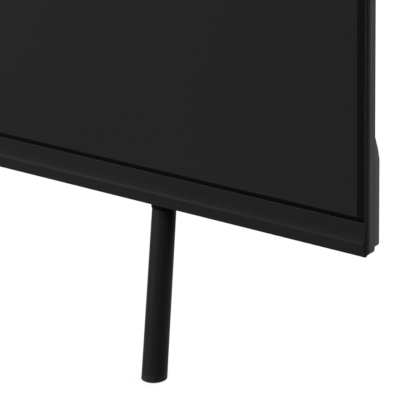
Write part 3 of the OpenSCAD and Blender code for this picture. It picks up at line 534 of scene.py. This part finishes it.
# %% Inside the sockets
UP = Vector((0, 0, 1))
SKIN = 0.06
TONGUE_ROOT, TONGUE_TIP = 11.0, 1.4  # both behind the socket's face
STRIP_ROOT, STRIP_TIP = 9.6, 2.1
STRIP_GAP, STRIP_THICK = 0.01, 0.1
PICTURE = {"sockets": 3, "pitch": 22, "over_board": 2.6, "thick": 0.8, "half": 5.0,
           "strips": 10, "strip_pitch": 1.0, "strip_width": 0.45}
DATA = {"sockets": 2, "pitch": 15.5, "over_board": 1.5, "thick": 1.6, "half": 4.1,
        "strips": 4, "strip_pitch": 2.0, "strip_width": 1.0}
SPRINGS, SPRING_PITCH, SPRING_RADIUS = 8, 1.02, 0.2
SPRING_PATH = [(1.2, 2.3), (2.0, 2.5), (6.6, 4.2), (11.0, 6.0), (12.2, 6.2)]  # behind face, over board

gold = grained("gold-flashed bronze", "#c59c40", "#d8b35c", grain_mm=1.0, depth_mm=0.002,
               rough=(0.2, 0.3), shader={"Metallic": 1.0})


def spread(middle, count, pitch):
    """Places in a row, evenly spaced round a middle."""
    return [middle + (k - (count - 1) / 2) * pitch for k in range(count)]


tongues, strips = bmesh.new(), bmesh.new()
for name, kind in zip(socket_rows, (PICTURE, DATA)):
    low, high = box_mm(name)
    face, board = high.x, low.y
    under = board + kind["over_board"] - SKIN
    top = board + kind["over_board"] + kind["thick"] + SKIN
    half = kind["half"] + SKIN
    half_strip = kind["strip_width"] / 2
    for row in spread((low.z + high.z) / 2, kind["sockets"], kind["pitch"]):
        bar(tongues, (face - TONGUE_ROOT, under, row - half),
            (face - TONGUE_TIP + SKIN, top, row + half))
        for place in spread(row, kind["strips"], kind["strip_pitch"]):
            bar(strips, (face - STRIP_ROOT, top + STRIP_GAP, place - half_strip),
                (face - STRIP_TIP, top + STRIP_GAP + STRIP_THICK, place + half_strip))
piece("socket_tongues", tongues, moulded)
piece("socket_contacts", strips, gold)

springs = bmesh.new()
low, high = box_mm("lan_socket")
for row in spread((low.z + high.z) / 2, SPRINGS, SPRING_PITCH):
    path = [Vector((high.x - behind, low.y + over, row)) for behind, over in SPRING_PATH]
    wire(springs, path, SPRING_RADIUS, UP)
piece("network_springs", springs, gold)

# %% [markdown]
# ## Screw threads
# The aerial socket has a screw thread round it, and each wall-mount post has one cut in its hole.
# Blender's Screw modifier could turn a profile into a thread, but a thread is also a wire whose
# path winds round an axis, so the helper from above makes both, with four sides for the ridge.

# %% Screw threads
TURN_STEPS, RIDGE_SIDES = 24, 4
AERIAL_AXIS, AERIAL_REACH = 6, 10.2  # below the socket's outer side, and back from its end
POST_RADIUS, POST_LEAD = 8, 0.8


def screw_thread(bm, start, along, radius, pitch, turns, ridge):
    """A ridge wound round an axis."""
    out = UP.cross(along)
    path = []
    for k in range(TURN_STEPS * turns):
        angle = k * math.tau / TURN_STEPS
        spoke = math.cos(angle) * out + math.sin(angle) * UP
        path.append(start + angle / math.tau * pitch * along + radius * spoke)
    wire(bm, path, ridge, along, RIDGE_SIDES)


aerial = bmesh.new()
low, high = box_mm("antenna_socket")
start = Vector((high.x - AERIAL_REACH, high.y - AERIAL_AXIS, (low.z + high.z) / 2))
screw_thread(aerial, start, Vector((1, 0, 0)), radius=4.75, pitch=0.8, turns=11, ridge=0.24)
piece("aerial_thread", aerial, brass)

posts = bmesh.new()
low, high = box_mm(wall_posts)
half, middle = high.x - POST_RADIUS, (low.z + high.z) / 2
for x in (-half, half):
    for z in (middle - half, middle + half):
        start = Vector((x, high.y - POST_LEAD, z))
        screw_thread(posts, start, Vector((0, -1, 0)), radius=3.0, pitch=1.0, turns=18, ridge=0.45)
piece("post_threads", posts, zinc)

# %% [markdown]
# ## Backlight sheets
# Behind the glass lie a ridged film, a white diffuser, an acrylic plate that carries the light and
# a white reflector. They are hidden in the finished set, but each keeps its own surface.

# %% Backlight sheets
ridged = grained("ridged polyester film", "#c4c9ce", "#dfe3e6", grain_mm=0.5, depth_mm=0.02,
                 rough=(0.2, 0.3), shader={"IOR": 1.6}, drawn=(0.01, 1, 1))
white_film = grained("white polyester film", "#e6e6e3", "#f0f0ee", grain_mm=1.2, depth_mm=0.004,
                     rough=(0.5, 0.6), shader={"IOR": 1.6})
acrylic = grained("light-guide acrylic", "#c6d8e0", "#d6e4ea", grain_mm=1.5, depth_mm=0.01,
                  rough=(0.06, 0.12), shader={"IOR": 1.49})
dress(ridged, "prism_sheet")
dress(white_film, "diffuser_sheet", "reflector_sheet", "led_strip")
dress(acrylic, "light_guide")

# %% [markdown]
# ## Boards and what is on them
# A circuit board is glass cloth in resin under a green lacquer, with copper showing through as a
# slightly lighter pattern. The power board is plain brown laminate. Chips are black resin, the
# transformers are wound in yellow tape, the capacitors wear a shrunk sleeve, and the flat cables
# have parallel wires a millimetre apart.

# %% Boards
masked = grained("green solder lacquer", "#123f28", "#1d5c3a", grain_mm=1.3, depth_mm=0.02,
                 rough=(0.3, 0.4), shader={"IOR": 1.5}, drawn=(1, 1, 0.25))
laminate = grained("brown paper laminate", "#6f5c36", "#8b7546", grain_mm=2.0, depth_mm=0.01,
                   rough=(0.4, 0.5), shader={"IOR": 1.52})
resin = grained("black moulding resin", "#141415", "#1c1c1d", grain_mm=0.6, depth_mm=0.006,
                rough=(0.5, 0.6), shader={"IOR": 1.55})
tape = grained("yellow winding tape", "#b29a38", "#cbb457", grain_mm=3.0, depth_mm=0.02,
               rough=(0.35, 0.45), shader={"IOR": 1.6}, drawn=(0.1, 1, 1))
sleeve = grained("shrunk sleeve", "#1e252c", "#2c343c", grain_mm=2.0, depth_mm=0.01,
                 rough=(0.3, 0.4), shader={"IOR": 1.54}, drawn=(1, 0.1, 1))
flat_cable = grained("flat cable film", "#cfcab8", "#e8e4d6", grain_mm=1.0, depth_mm=0.05,
                     rough=(0.3, 0.4), shader={"IOR": 1.6}, drawn=(0.01, 1, 1))
dress(masked, "main_board", "tcon_board", "panel_boards", "ir_board")
dress(laminate, "power_board")
dress(resin, "main_chips")
dress(tape, "power_transformers")
dress(sleeve, "power_capacitors")
dress(flat_cable, "picture_ribbon", "power_harness")
print("pieces without a finish:", sorted(set(nodes) - set(finishes)))
